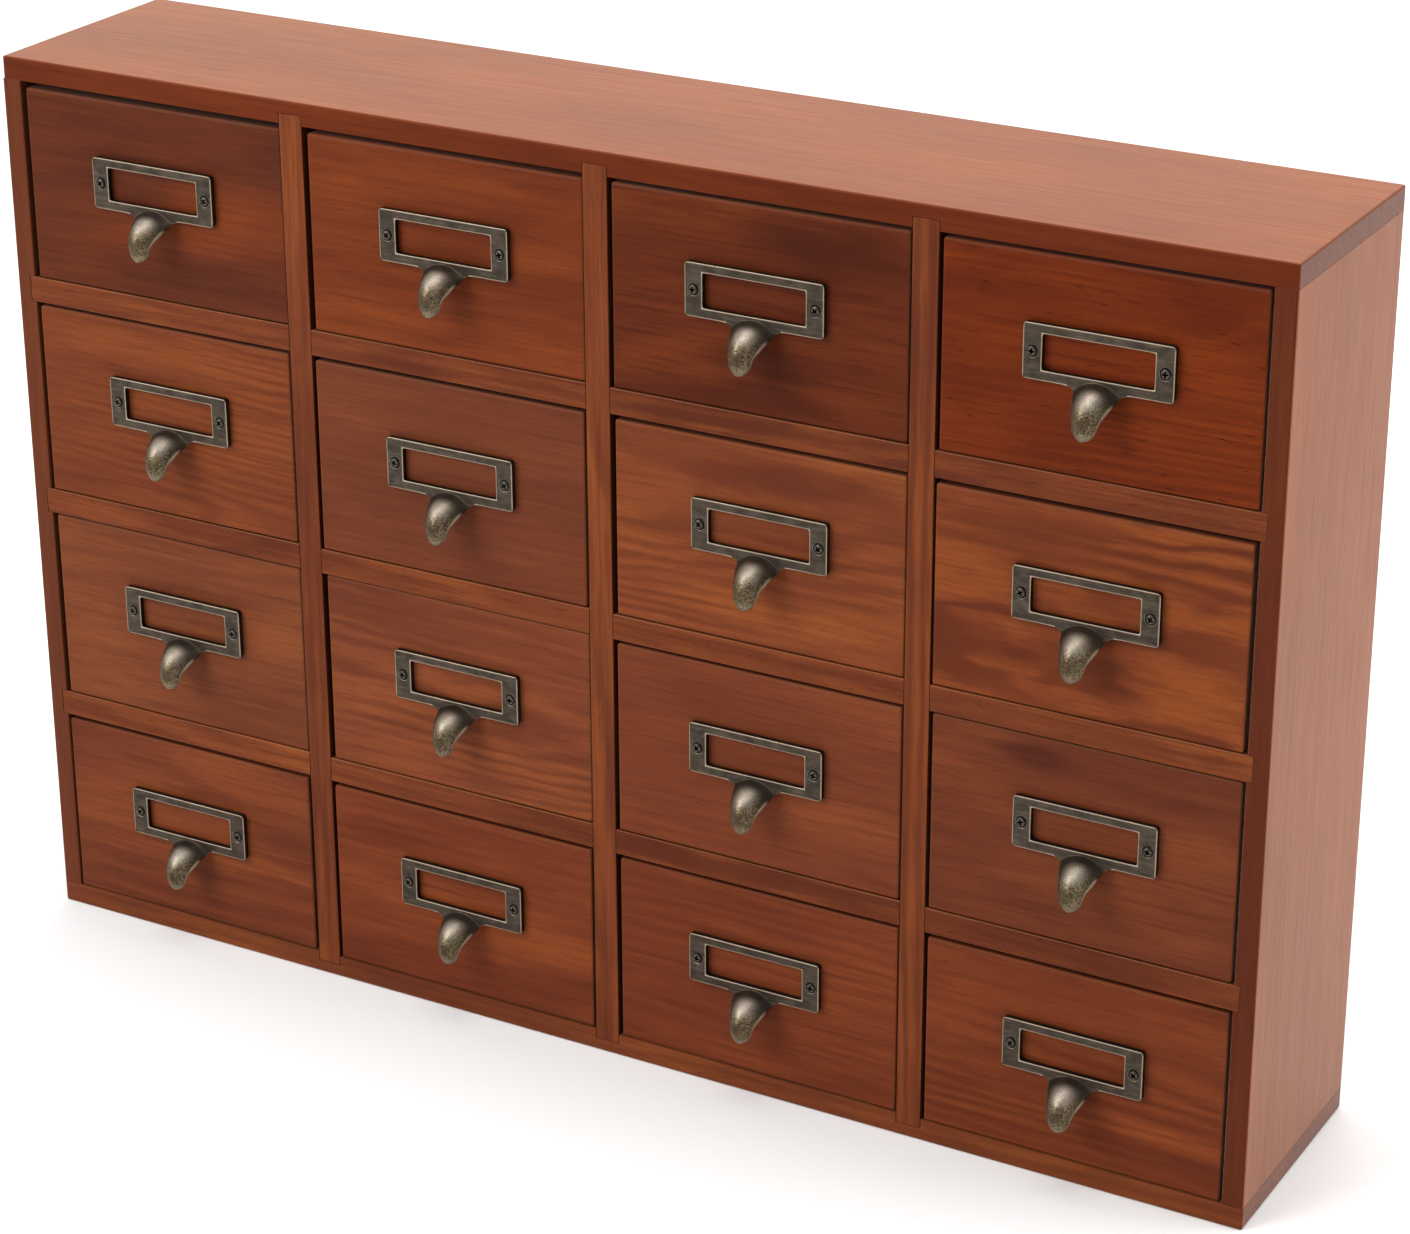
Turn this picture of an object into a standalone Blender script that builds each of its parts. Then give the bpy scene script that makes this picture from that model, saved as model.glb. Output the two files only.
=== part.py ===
"""Card catalog cabinet: sixteen drawers in a four by four grid of cross-halved boards.

Metres, +Z up. The drawers face -Y, +X runs to the right, and the origin is at the
middle of the underside of the bottom board.
"""

from math import cos, pi, sin

import bmesh
import bpy
from mathutils import Vector

MM = 0.001

# Carcass
WIDTH = 630 * MM
DEPTH = 118 * MM
HEIGHT = 434 * MM
COLUMNS = 4
ROWS = 4
TOP_BOARD = 10.5 * MM
BOTTOM_BOARD = 10.5 * MM
SIDE_PANEL = 10 * MM
DIVIDER = 12 * MM
SHELF = 12 * MM
BACK_PANEL = 3 * MM
TOP_INSET_LEFT = 0.7 * MM      # the top board stops this far short of the left side's outer face
DIVIDER_HOUSING = 4.5 * MM     # how far a divider lets into the top and bottom boards
SHELF_HOUSING = 2.7 * MM       # how far a shelf lets into the side panels
BACK_REBATE = 4 * MM           # how far the back panel lets into the outer boards
EASED_EDGE = 0.8 * MM
GLUE_GAP = 0.2 * MM            # clearance between pieces that touch

# Drawers
FRONT_THICKNESS = 10 * MM
FRONT_SIDE_PLAY = 2.8 * MM     # the cell's width less the front's width
FRONT_BOTTOM_GAP = 0.4 * MM
FRONT_RECESS = 0.5 * MM        # the front sits this far behind the carcass's front edges
FRONT_EASED_EDGE = 1.0 * MM
BOX_WIDTH = 140 * MM           # leaves 128 mm inside, for 127 mm wide catalog cards
BOX_HEIGHT = 80 * MM
BOX_WALL = 6 * MM
BOX_BOTTOM = 3 * MM
BOX_BACK_CLEARANCE = 0.4 * MM     # the box stops against the back panel

# How each hand-fitted drawer front sits in its cell, by row from the top and by column from
# the left: its shift to the right, and the gap above it, in millimetres.
FRONT_FIT = (
    ((0.9, 3.2), (0.9, 2.8), (0.3, 2.2), (0.1, 2.2)),
    ((0.0, 1.9), (-0.2, 2.2), (0.7, 2.3), (-0.7, 2.5)),
    ((0.5, 1.0), (0.8, 0.7), (0.2, 2.0), (-0.1, 1.0)),
    ((-0.9, 2.5), (-0.3, 2.3), (0.4, 2.2), (-0.1, 2.4)),
)

# How far the middle of each pull's plate lies to the right of its cell's middle, and above it,
# in millimetres, by row and column as above.
PULL_FIT = (
    ((1.5, 5.5), (2.0, 5.0), (0.0, 5.0), (0.5, 4.5)),
    ((3.0, 6.0), (1.5, 4.5), (2.5, 5.5), (-1.0, 5.0)),
    ((3.5, 6.5), (1.5, 6.5), (1.0, 5.0), (2.5, 6.5)),
    ((-0.5, 5.0), (0.5, 5.5), (0.5, 6.0), (1.0, 5.5)),
)

# Label-holder pull, one casting: origin at the middle of the plate, on the drawer front
PLATE_WIDTH = 66 * MM
PLATE_HEIGHT = 24 * MM
PLATE_STANDOFF = 3 * MM        # the plate's face stands this far off the drawer front
PLATE_CORNER = 1.5 * MM
APRON_DROP = 2.4 * MM          # the plate's lower edge dips by this where the tongue grows out
APRON_HALF_WIDTH = 14 * MM
APRON_FLAT_HALF_WIDTH = 9.5 * MM
WINDOW_WIDTH = 49 * MM
WINDOW_HEIGHT = 15.6 * MM
WINDOW_CORNER = 0.8 * MM
WINDOW_RAISE = 0.2 * MM        # the window's middle above the plate's middle
CARD_SLOT_DEPTH = 1.2 * MM     # pocket behind the window, open at the top edge
CARD_SLOT_LIP = 1.6 * MM       # the pocket is wider than the window by this on each side
TONGUE_CROWN = ((-1.2, -8.6), (-16.5, -8.8), (-24.2, -19.5), (-17.4, -29.6))  # Bezier points (y, z), mm
TONGUE_ROOT_HALF_WIDTH = 10.2 * MM
TONGUE_TIP_HALF_WIDTH = 5.0 * MM
TONGUE_ROOT_ARCH = 4.4 * MM    # how far the side edges fall back from the crown
TONGUE_MIDDLE_ARCH = 9.2 * MM
TONGUE_TIP_ARCH = 2.2 * MM
TONGUE_THICKNESS = 1.6 * MM
TONGUE_TAPER = 1.35            # above 1, the tongue narrows sooner
TIP_START = 0.84               # how far along the tongue its round tip begins
TIP_TURN = 0.92                # the share of the round tip's arc that the tongue follows
TONGUE_ROWS = 9
TONGUE_COLUMNS = 6
SHARP_ANGLE = pi / 5           # steeper edges than this stay sharp in the shading
WELD = 0.001 * MM

# Worked out from the dimensions above
CELL_WIDTH = (WIDTH - 2 * SIDE_PANEL - (COLUMNS - 1) * DIVIDER) / COLUMNS
CELL_HEIGHT = (HEIGHT - TOP_BOARD - BOTTOM_BOARD - (ROWS - 1) * SHELF) / ROWS
FRONT_Y = -DEPTH / 2
BACK_Y = DEPTH / 2
PANEL_FRONT_Y = BACK_Y - BACK_PANEL
MIDDLE_Y = (FRONT_Y + PANEL_FRONT_Y) / 2
LEFT_X = -WIDTH / 2
RIGHT_X = WIDTH / 2
MARGIN = 5 * MM                # how far a cutter runs past the face it opens
FRONT_WIDTH = CELL_WIDTH - FRONT_SIDE_PLAY

CHERRY = ("stained_cherry", (0.205, 0.045, 0.018), 0.42, 0.0)
CHERRY_TOP = ("stained_cherry_top", (0.300, 0.085, 0.036), 0.38, 0.0)
BIRCH = ("drawer_box_wood", (0.360, 0.190, 0.085), 0.55, 0.0)
PLYWOOD = ("back_panel_wood", (0.260, 0.110, 0.050), 0.60, 0.0)
BRONZE = ("antique_bronze", (0.115, 0.095, 0.070), 0.45, 0.9)


def clear_scene():
    for thing in list(bpy.data.objects):
        bpy.data.objects.remove(thing, do_unlink=True)


def new_collection(name):
    collection = bpy.data.collections.new(name)
    bpy.context.scene.collection.children.link(collection)
    return collection


def material(spec):
    """The Principled material for a (name, colour, roughness, metallic) tuple."""
    name, colour, roughness, metallic = spec
    found = bpy.data.materials.get(name)
    if found:
        return found
    made = bpy.data.materials.new(name)
    made.use_nodes = True
    shader = made.node_tree.nodes["Principled BSDF"]
    shader.inputs["Base Color"].default_value = (*colour, 1.0)
    shader.inputs["Roughness"].default_value = roughness
    shader.inputs["Metallic"].default_value = metallic
    made.diffuse_color = (*colour, 1.0)
    return made


def add_object(name, mesh, collection, location=(0, 0, 0), parent=None):
    thing = bpy.data.objects.new(name, mesh)
    collection.objects.link(thing)
    thing.location = location
    thing.parent = parent
    return thing


def block(name, low, high, collection, parent=None):
    """A box between two corners, as an object placed at the box's middle."""
    low = Vector(low)
    high = Vector(high)
    mesh = bpy.data.meshes.new(name)
    shape = bmesh.new()
    bmesh.ops.create_cube(shape, size=1)
    bmesh.ops.scale(shape, vec=high - low, verts=shape.verts)
    shape.to_mesh(mesh)
    shape.free()
    return add_object(name, mesh, collection, (low + high) / 2, parent)


def ease_edges(thing, width, segments=2, joined=()):
    """Round a block's edges, but keep sharp those of its top (1) or bottom (-1) face where joined to a board."""
    bevel = thing.modifiers.new("eased edges", "BEVEL")
    bevel.width = width
    bevel.segments = segments
    bevel.limit_method = "WEIGHT" if joined else "ANGLE"
    if joined:
        mesh = thing.data
        weights = mesh.attributes.new("bevel_weight_edge", "FLOAT", "EDGE")
        for edge in mesh.edges:
            heights = [mesh.vertices[corner].co.z for corner in edge.vertices]
            at_joint = any(all(z * side > 0 for z in heights) for side in joined)
            weights.data[edge.index].value = 0 if at_joint else 1


def combine(thing, other, operation):
    boolean = thing.modifiers.new(operation.lower(), "BOOLEAN")
    boolean.operation = operation
    boolean.solver = "EXACT"
    boolean.object = other


def cut_block(thing, low, high, cutters):
    """Cut a box-shaped groove, slot or rebate out of a board."""
    cutter = block(f"cut_{thing.name}_{len(thing.modifiers)}", low, high, cutters)
    cutter.hide_render = True
    cutter.display_type = "WIRE"
    combine(thing, cutter, "DIFFERENCE")


def finish(thing, spec):
    thing.data.materials.clear()
    thing.data.materials.append(material(spec))


def cell_left(column):
    return LEFT_X + SIDE_PANEL + column * (CELL_WIDTH + DIVIDER)


def cell_bottom(row):
    """Bottom of a row of cells, counted from the top row."""
    return BOTTOM_BOARD + (ROWS - 1 - row) * (CELL_HEIGHT + SHELF)


def divider_left(index):
    return cell_left(index) + CELL_WIDTH


def shelf_bottom(index):
    """Underside of a shelf, counted from the top one."""
    return cell_bottom(index) - SHELF


def make_cap_board(name, low_z, high_z, left_x, inner_z, outer_sign, parts, cutters):
    """The top or bottom board: full width, housed for the dividers, rebated for the back panel.

    inner_z is the height of its face towards the drawers, and outer_sign points away from them.
    """
    board = block(name, (left_x, FRONT_Y, low_z), (RIGHT_X, BACK_Y, high_z), parts)
    ease_edges(board, EASED_EDGE, joined=(-outer_sign,))
    inside = inner_z - outer_sign * MARGIN
    housing = sorted((inside, inner_z + outer_sign * (DIVIDER_HOUSING + GLUE_GAP)))
    for index in range(COLUMNS - 1):
        x = divider_left(index)
        cut_block(
            board,
            (x - GLUE_GAP, FRONT_Y - MARGIN, housing[0]),
            (x + DIVIDER + GLUE_GAP, PANEL_FRONT_Y, housing[1]),
            cutters,
        )
    rebate = sorted((inside, inner_z + outer_sign * (BACK_REBATE + GLUE_GAP)))
    side_edge = SIDE_PANEL - BACK_REBATE - GLUE_GAP
    cut_block(
        board,
        (LEFT_X + side_edge, PANEL_FRONT_Y - GLUE_GAP, rebate[0]),
        (RIGHT_X - side_edge, BACK_Y + MARGIN, rebate[1]),
        cutters,
    )
    finish(board, CHERRY_TOP if outer_sign > 0 else CHERRY)


def make_side_panel(name, outer_x, inward_sign, parts, cutters):
    """A side panel between the top and bottom boards, housed for the shelves' ends."""
    inner_x = outer_x + inward_sign * SIDE_PANEL
    low_x, high_x = sorted((outer_x, inner_x))
    panel = block(
        name,
        (low_x, FRONT_Y, BOTTOM_BOARD + GLUE_GAP),
        (high_x, BACK_Y, HEIGHT - TOP_BOARD - GLUE_GAP),
        parts,
    )
    ease_edges(panel, EASED_EDGE, joined=(1, -1))
    housing = sorted((inner_x + inward_sign * MARGIN, inner_x - inward_sign * (SHELF_HOUSING + GLUE_GAP)))
    for index in range(ROWS - 1):
        z = shelf_bottom(index)
        cut_block(
            panel,
            (housing[0], FRONT_Y - MARGIN, z - GLUE_GAP),
            (housing[1], PANEL_FRONT_Y, z + SHELF + GLUE_GAP),
            cutters,
        )
    rebate = sorted((inner_x + inward_sign * MARGIN, inner_x - inward_sign * (BACK_REBATE + GLUE_GAP)))
    cut_block(
        panel,
        (rebate[0], PANEL_FRONT_Y - GLUE_GAP, 0),
        (rebate[1], BACK_Y + MARGIN, HEIGHT),
        cutters,
    )
    finish(panel, CHERRY)


def make_divider(index, parts, cutters):
    """An upright board, whole at the front and slotted from behind where the shelves cross it."""
    x = divider_left(index)
    board = block(
        f"divider_{index + 1}",
        (x, FRONT_Y, BOTTOM_BOARD - DIVIDER_HOUSING),
        (x + DIVIDER, PANEL_FRONT_Y - 2 * GLUE_GAP, HEIGHT - TOP_BOARD + DIVIDER_HOUSING),
        parts,
    )
    ease_edges(board, EASED_EDGE / 2)
    for shelf in range(ROWS - 1):
        z = shelf_bottom(shelf)
        cut_block(
            board,
            (x - MARGIN, MIDDLE_Y, z - GLUE_GAP),
            (x + DIVIDER + MARGIN, BACK_Y, z + SHELF + GLUE_GAP),
            cutters,
        )
    finish(board, CHERRY)


def make_shelf(index, parts, cutters):
    """A full-width shelf, slotted from the front where the dividers cross it."""
    z = shelf_bottom(index)
    reach = SIDE_PANEL - SHELF_HOUSING
    board = block(
        f"shelf_{index + 1}",
        (LEFT_X + reach, FRONT_Y, z),
        (RIGHT_X - reach, PANEL_FRONT_Y - 2 * GLUE_GAP, z + SHELF),
        parts,
    )
    ease_edges(board, EASED_EDGE / 2)
    for divider in range(COLUMNS - 1):
        x = divider_left(divider)
        cut_block(
            board,
            (x - GLUE_GAP, FRONT_Y - MARGIN, z - MARGIN),
            (x + DIVIDER + GLUE_GAP, MIDDLE_Y + GLUE_GAP, z + SHELF + MARGIN),
            cutters,
        )
    finish(board, CHERRY)


def make_back_panel(parts):
    edge = SIDE_PANEL - BACK_REBATE
    panel = block(
        "back_panel",
        (LEFT_X + edge, PANEL_FRONT_Y, BOTTOM_BOARD - BACK_REBATE),
        (RIGHT_X - edge, BACK_Y, HEIGHT - TOP_BOARD + BACK_REBATE),
        parts,
    )
    finish(panel, PLYWOOD)


def make_carcass(parts, cutters):
    top_low = HEIGHT - TOP_BOARD
    make_cap_board("top_board", top_low, HEIGHT, LEFT_X + TOP_INSET_LEFT, top_low, 1, parts, cutters)
    make_cap_board("bottom_board", 0, BOTTOM_BOARD, LEFT_X, BOTTOM_BOARD, -1, parts, cutters)
    make_side_panel("left_side", LEFT_X, 1, parts, cutters)
    make_side_panel("right_side", RIGHT_X, -1, parts, cutters)
    for index in range(COLUMNS - 1):
        make_divider(index, parts, cutters)
    for index in range(ROWS - 1):
        make_shelf(index, parts, cutters)
    make_back_panel(parts)


def arc(centre_x, centre_z, radius, start, end, steps):
    """Points along a round corner, from one angle to another in quarter turns."""
    points = []
    for step in range(steps + 1):
        angle = (start + (end - start) * step / steps) * pi / 2
        points.append((centre_x + radius * cos(angle), centre_z + radius * sin(angle)))
    return points


def rounded_rectangle(width, height, radius, middle_z, steps=3):
    x = width / 2 - radius
    z = height / 2 - radius
    return (
        arc(x, middle_z + z, radius, 0, 1, steps)
        + arc(-x, middle_z + z, radius, 1, 2, steps)
        + arc(-x, middle_z - z, radius, 2, 3, steps)
        + arc(x, middle_z - z, radius, 3, 4, steps)
    )


def apron(steps=4):
    """The dip in the plate's lower edge around the tongue, from left to right.

    It starts half a step in, so that no three points of the outline lie on one line.
    """
    left = []
    for step in range(steps + 1):
        along = (step + 0.5) / (steps + 0.5)
        x = APRON_HALF_WIDTH + (APRON_FLAT_HALF_WIDTH - APRON_HALF_WIDTH) * along
        dip = APRON_DROP * (1 - cos(pi * along)) / 2
        left.append((-x, -PLATE_HEIGHT / 2 - dip))
    return left + [(-x, z) for x, z in reversed(left)]


def plate_outline():
    corners = rounded_rectangle(PLATE_WIDTH, PLATE_HEIGHT, PLATE_CORNER, 0)
    before_apron = 3 * len(corners) // 4
    return corners[:before_apron] + apron() + corners[before_apron:]


def outline_curve(name, outlines, thickness, collection):
    """A flat plate from closed outlines, standing in the XZ plane."""
    curve = bpy.data.curves.new(name, "CURVE")
    curve.dimensions = "2D"
    curve.fill_mode = "BOTH"
    curve.extrude = thickness / 2
    for outline in outlines:
        spline = curve.splines.new("POLY")
        spline.points.add(len(outline) - 1)
        for point, (x, z) in zip(spline.points, outline):
            point.co = (x, z, 0, 1)
        spline.use_cyclic_u = True
    thing = add_object(name, curve, collection)
    thing.rotation_euler.x = pi / 2
    return thing


def evaluated_mesh(thing):
    """The object's mesh with its modifiers applied, in world space, with any loose caps welded."""
    bpy.context.view_layer.update()
    depsgraph = bpy.context.evaluated_depsgraph_get()
    mesh = bpy.data.meshes.new_from_object(thing.evaluated_get(depsgraph))
    mesh.transform(thing.matrix_world)
    shape = bmesh.new()
    shape.from_mesh(mesh)
    bmesh.ops.remove_doubles(shape, verts=shape.verts, dist=WELD)
    bmesh.ops.recalc_face_normals(shape, faces=shape.faces)
    shape.to_mesh(mesh)
    shape.free()
    return mesh


def bezier(points, share):
    """The place and the direction of a Bezier curve, in the YZ plane, at a share of its run."""
    points = [Vector((0, y * MM, z * MM)) for y, z in points]
    while len(points) > 2:
        points = [a.lerp(b, share) for a, b in zip(points, points[1:])]
    return points[0].lerp(points[1], share), (points[1] - points[0]).normalized()


def tongue_point(along, across):
    """A point on the tongue's crown side: along runs 0 to 1 down to the tip, across from -1 to 1.

    The crown bulges out of the plate, hangs down and curls back a little. The side edges fall
    back behind it, and the last stretch closes into a round tip.
    """
    crown, heading = bezier(TONGUE_CROWN, along)
    inward = Vector((0, -heading.z, heading.y))
    narrowing = (TONGUE_ROOT_HALF_WIDTH - TONGUE_TIP_HALF_WIDTH) * (1 - (1 - along) ** TONGUE_TAPER)
    half_width = TONGUE_ROOT_HALF_WIDTH - narrowing
    if along > TIP_START:
        turn = (along - TIP_START) / (1 - TIP_START) * TIP_TURN
        half_width *= (1 - turn ** 2) ** 0.5
    arch = TONGUE_ROOT_ARCH * (1 - along) ** 2 + TONGUE_TIP_ARCH * along ** 2
    arch += 2 * TONGUE_MIDDLE_ARCH * along * (1 - along)
    return crown + Vector((across * half_width, 0, 0)) + inward * arch * across ** 2


def tongue_surface(collection):
    """A grid laid over the tongue, thickened towards the drawer."""
    mesh = bpy.data.meshes.new("tongue")
    shape = bmesh.new()
    bmesh.ops.create_grid(shape, x_segments=TONGUE_COLUMNS, y_segments=TONGUE_ROWS, size=1)
    for corner in shape.verts:
        corner.co = tongue_point((1 - corner.co.y) / 2, corner.co.x)
    bmesh.ops.recalc_face_normals(shape, faces=shape.faces)
    outward = sum((face.normal for face in shape.faces), Vector())
    if outward.y > 0:
        bmesh.ops.reverse_faces(shape, faces=shape.faces)
    shape.to_mesh(mesh)
    shape.free()
    thing = add_object("tongue", mesh, collection)
    solidify = thing.modifiers.new("thickness", "SOLIDIFY")
    solidify.thickness = TONGUE_THICKNESS
    solidify.offset = -1
    solidify.use_even_offset = True
    return thing


def make_pull_mesh(cutters):
    """The casting: a plate with a window and a card slot, and a hollow tongue under it."""
    window = rounded_rectangle(WINDOW_WIDTH, WINDOW_HEIGHT, WINDOW_CORNER, WINDOW_RAISE)
    thickness = PLATE_STANDOFF - GLUE_GAP
    flat = outline_curve("plate_outline", (plate_outline(), window), thickness, cutters)
    flat.location.y = -GLUE_GAP - thickness / 2
    plate = add_object("plate", evaluated_mesh(flat), cutters)
    bpy.data.objects.remove(flat)
    tongue = tongue_surface(cutters)
    combine(plate, tongue, "UNION")
    half_slot = WINDOW_WIDTH / 2 + CARD_SLOT_LIP
    cut_block(
        plate,
        (-half_slot, -CARD_SLOT_DEPTH, WINDOW_RAISE - WINDOW_HEIGHT / 2 - CARD_SLOT_LIP),
        (half_slot, MARGIN, PLATE_HEIGHT / 2 + MARGIN),
        cutters,
    )
    mesh = evaluated_mesh(plate)
    mesh.name = "pull"
    mesh.shade_smooth()
    mesh.set_sharp_from_angle(angle=SHARP_ANGLE)
    for cutter in (plate, tongue):
        bpy.data.objects.remove(cutter)
    return mesh


def make_box_mesh(cutters):
    """The drawer's box behind its front: two sides, a back and a bottom, open above and in front."""
    length = PANEL_FRONT_Y - BOX_BACK_CLEARANCE - (FRONT_Y + FRONT_RECESS + FRONT_THICKNESS + GLUE_GAP)
    box = block("box", (-BOX_WIDTH / 2, 0, 0), (BOX_WIDTH / 2, length, BOX_HEIGHT), cutters)
    inside = BOX_WIDTH / 2 - BOX_WALL
    cut_block(
        box,
        (-inside, -MARGIN, BOX_BOTTOM),
        (inside, length - BOX_WALL, BOX_HEIGHT + MARGIN),
        cutters,
    )
    mesh = evaluated_mesh(box)
    mesh.name = "drawer_box"
    bpy.data.objects.remove(box)
    return mesh


def make_drawer(row, column, box_mesh, pull_mesh, parts):
    """A drawer on its own empty, which lies at the middle of the front board's lower back edge."""
    name = f"drawer_r{row + 1}c{column + 1}"
    shift, gap_above = FRONT_FIT[row][column]
    front_height = CELL_HEIGHT - gap_above * MM - FRONT_BOTTOM_GAP
    slider = add_object(name, None, parts)
    slider.location = (
        cell_left(column) + CELL_WIDTH / 2 + shift * MM,
        FRONT_Y + FRONT_RECESS + FRONT_THICKNESS,
        cell_bottom(row) + FRONT_BOTTOM_GAP,
    )
    front = block(
        f"{name}_front",
        (-FRONT_WIDTH / 2, -FRONT_THICKNESS, 0),
        (FRONT_WIDTH / 2, 0, front_height),
        parts,
        slider,
    )
    ease_edges(front, FRONT_EASED_EDGE)
    finish(front, CHERRY)
    add_object(f"{name}_box", box_mesh, parts, (0, GLUE_GAP, 0), slider)
    right, above = PULL_FIT[row][column]
    pull_x = (right - shift) * MM
    pull_z = CELL_HEIGHT / 2 + above * MM - FRONT_BOTTOM_GAP
    add_object(f"{name}_pull", pull_mesh, parts, (pull_x, -FRONT_THICKNESS, pull_z), slider)


def make_drawers(parts, cutters):
    box_mesh = make_box_mesh(cutters)
    box_mesh.materials.append(material(BIRCH))
    pull_mesh = make_pull_mesh(cutters)
    pull_mesh.materials.clear()
    pull_mesh.materials.append(material(BRONZE))
    for row in range(ROWS):
        for column in range(COLUMNS):
            make_drawer(row, column, box_mesh, pull_mesh, parts)


clear_scene()
part_collection = new_collection("card_catalog_cabinet")
cutter_collection = new_collection("cutters")
make_carcass(part_collection, cutter_collection)
make_drawers(part_collection, cutter_collection)
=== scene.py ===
"""Looks of the card catalog cabinet: stained pine boards, antique bronze label-holder pulls."""

import random
from math import atan2, cos, pi, radians, sin, sqrt

import bmesh
import bpy
from mathutils import Euler, Matrix, Vector


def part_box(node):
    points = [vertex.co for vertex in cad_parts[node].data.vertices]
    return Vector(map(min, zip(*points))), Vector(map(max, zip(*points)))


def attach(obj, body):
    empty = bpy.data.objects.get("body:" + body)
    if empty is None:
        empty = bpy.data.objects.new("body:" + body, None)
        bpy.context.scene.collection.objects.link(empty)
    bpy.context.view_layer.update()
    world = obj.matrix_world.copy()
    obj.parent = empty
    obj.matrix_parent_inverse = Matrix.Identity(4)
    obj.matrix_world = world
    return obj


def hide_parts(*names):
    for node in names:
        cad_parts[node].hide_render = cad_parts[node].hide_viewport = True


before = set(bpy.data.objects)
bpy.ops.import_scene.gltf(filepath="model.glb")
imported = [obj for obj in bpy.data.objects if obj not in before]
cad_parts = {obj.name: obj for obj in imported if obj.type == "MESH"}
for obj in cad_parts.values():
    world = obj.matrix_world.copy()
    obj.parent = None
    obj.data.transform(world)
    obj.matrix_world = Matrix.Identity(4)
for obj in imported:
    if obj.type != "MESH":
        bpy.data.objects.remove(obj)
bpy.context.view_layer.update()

MM = 0.001
ROWS = 4
COLUMNS = 4
FULL_TURN = 2 * pi
TINY = 1e-6

# Where each kind of piece's random seeds start
BOX_SIDE_SEED = 50
BOX_BACK_SEED = 70
FRONT_SEED = 100
BRONZE_SEED = 200
SCREW_SEED = 300

# Camera, at the photographed view
CAMERA_PLACE = (0.80407, -1.39492, 0.90032)
CAMERA_AZIMUTH = 29.355
CAMERA_DOWN = 23.573
CAMERA_ROLL = -0.2135
CAMERA_LENS = 98.24
SENSOR = 36.0

# Studio lights: name, place, target, size, power
LIGHTS = (
    ("key", (-1.2, -1.7, 1.6), (0, 0, 0.2), 1.5, 45.5),
    ("overhead", (0.2, 0.2, 2.2), (0, 0, 0.2), 1.6, 29),
    ("side", (2.2, 0.6, 1.0), (0, 0, 0.2), 1.2, 20),
    ("backdrop", (-0.5, 3.6, 2.6), (-1.0, 4.4, 0), 3.0, 120),
)
WORLD_STRENGTH = 0.55
FLOOR_GREY = (0.93, 0.93, 0.93, 1)
FLOOR_HALF_SIZE = 8
FLOOR_DROP = 0.0002

# Pull, about the middle of the plate on the drawer front: x right, y away from the viewer, z up.
# The tongue's crown is a Bezier curve with its (y, z) points in mm. TONGUE_SECTIONS are shares of
# its run, TONGUE_BAND shares of its half width, and RECESS_STEPS a screw hole's (radius, depth).
GLUE_GAP = 0.2 * MM
PLATE_HALF_WIDTH = 33 * MM
PLATE_HALF_HEIGHT = 12 * MM
PLATE_FACE = 3 * MM
PLATE_CORNER = 1.6 * MM
APRON_DROP = 1.9 * MM
APRON_OUTER = 12.6 * MM
APRON_INNER = 9.8 * MM
WINDOW_HALF_WIDTH = 24.5 * MM
WINDOW_TOP = 8.0 * MM
WINDOW_BOTTOM = -7.6 * MM
WINDOW_CORNER = 0.8 * MM
RIM = 0.55 * MM
RUBBED_WIDTH = 0.9 * MM
BEVEL_DEPTH = 0.75 * MM
TONGUE_CROWN = ((-1.2, -8.6), (-16.5, -8.8), (-24.2, -19.5), (-16.9, -29.8))
TONGUE_ROOT_HALF_WIDTH = 10.2 * MM
TONGUE_TIP_HALF_WIDTH = 5.2 * MM
TONGUE_ROOT_ARCH = 4.4 * MM
TONGUE_MIDDLE_ARCH = 9.2 * MM
TONGUE_TIP_ARCH = 2.2 * MM
TONGUE_THICKNESS = 1.6 * MM
TONGUE_TAPER = 1.35
TIP_START = 0.80
TIP_TURN = 0.86
TIP_BLUNTNESS = 3.2
TONGUE_BAND = (1.0, 0.9, 0.5, 0.0)
TONGUE_SECTIONS = (0.085, 0.14, 0.21, 0.29, 0.38, 0.48, 0.58, 0.68, 0.77, 0.85, 0.92, 0.97, 1.0)
FACE_ROOT = 0.04
BACK_EDGE = 0.35 * MM
CROWN_BAND = 0.5 * MM
LEAST_LIP = 0.35 * MM
RUB_START = 0.13
SUBDIVISIONS = 2
SCREW_X = 29 * MM
RECESS_RADIUS = 3.0 * MM
RECESS_STEPS = ((3.22 * MM, 0), (3.0 * MM, 0.10 * MM), (2.88 * MM, 0.35 * MM),
                (2.75 * MM, 1.1 * MM), (1.0 * MM, 1.1 * MM))

# Screw: the head's (radius, y) and the cross are given from its seat, a little before the plate's
# face, and the thread from the drawer front
SCREW_SIDES = 32
SEAT_RISE = 0.05 * MM
HEAD_PROFILE = ((0, -0.62 * MM), (0.7 * MM, -0.58 * MM), (1.4 * MM, -0.42 * MM),
                (2.05 * MM, -0.16 * MM), (2.35 * MM, 0.05 * MM), (2.35 * MM, 0.22 * MM),
                (1.3 * MM, 1.3 * MM))
SHANK_RADIUS = 1.3 * MM
THREAD_CORE = 1.0 * MM
THREAD_CREST = 1.35 * MM
THREAD_START = 0.4 * MM
THREAD_END = 6.0 * MM
THREAD_PITCH = 0.8 * MM
POINT_RADIUS = 0.9 * MM
POINT_LENGTH = 2.2 * MM
CROSS_REACH = (1.72 * MM, 0.80 * MM)
CROSS_HALF_WIDTH = (0.54 * MM, 0.26 * MM)
CROSS_Y = (-1.2 * MM, 1.0 * MM)

# Drawer box
BOX_WALL = 6 * MM
BOX_BOTTOM = 3 * MM
BOX_EASED = 0.5 * MM
CONVEX_ANGLE = 0.1


# ---------------------------------------------------------------- stage

def new_object(name, data):
    thing = bpy.data.objects.new(name, data)
    bpy.context.scene.collection.objects.link(thing)
    return thing


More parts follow.
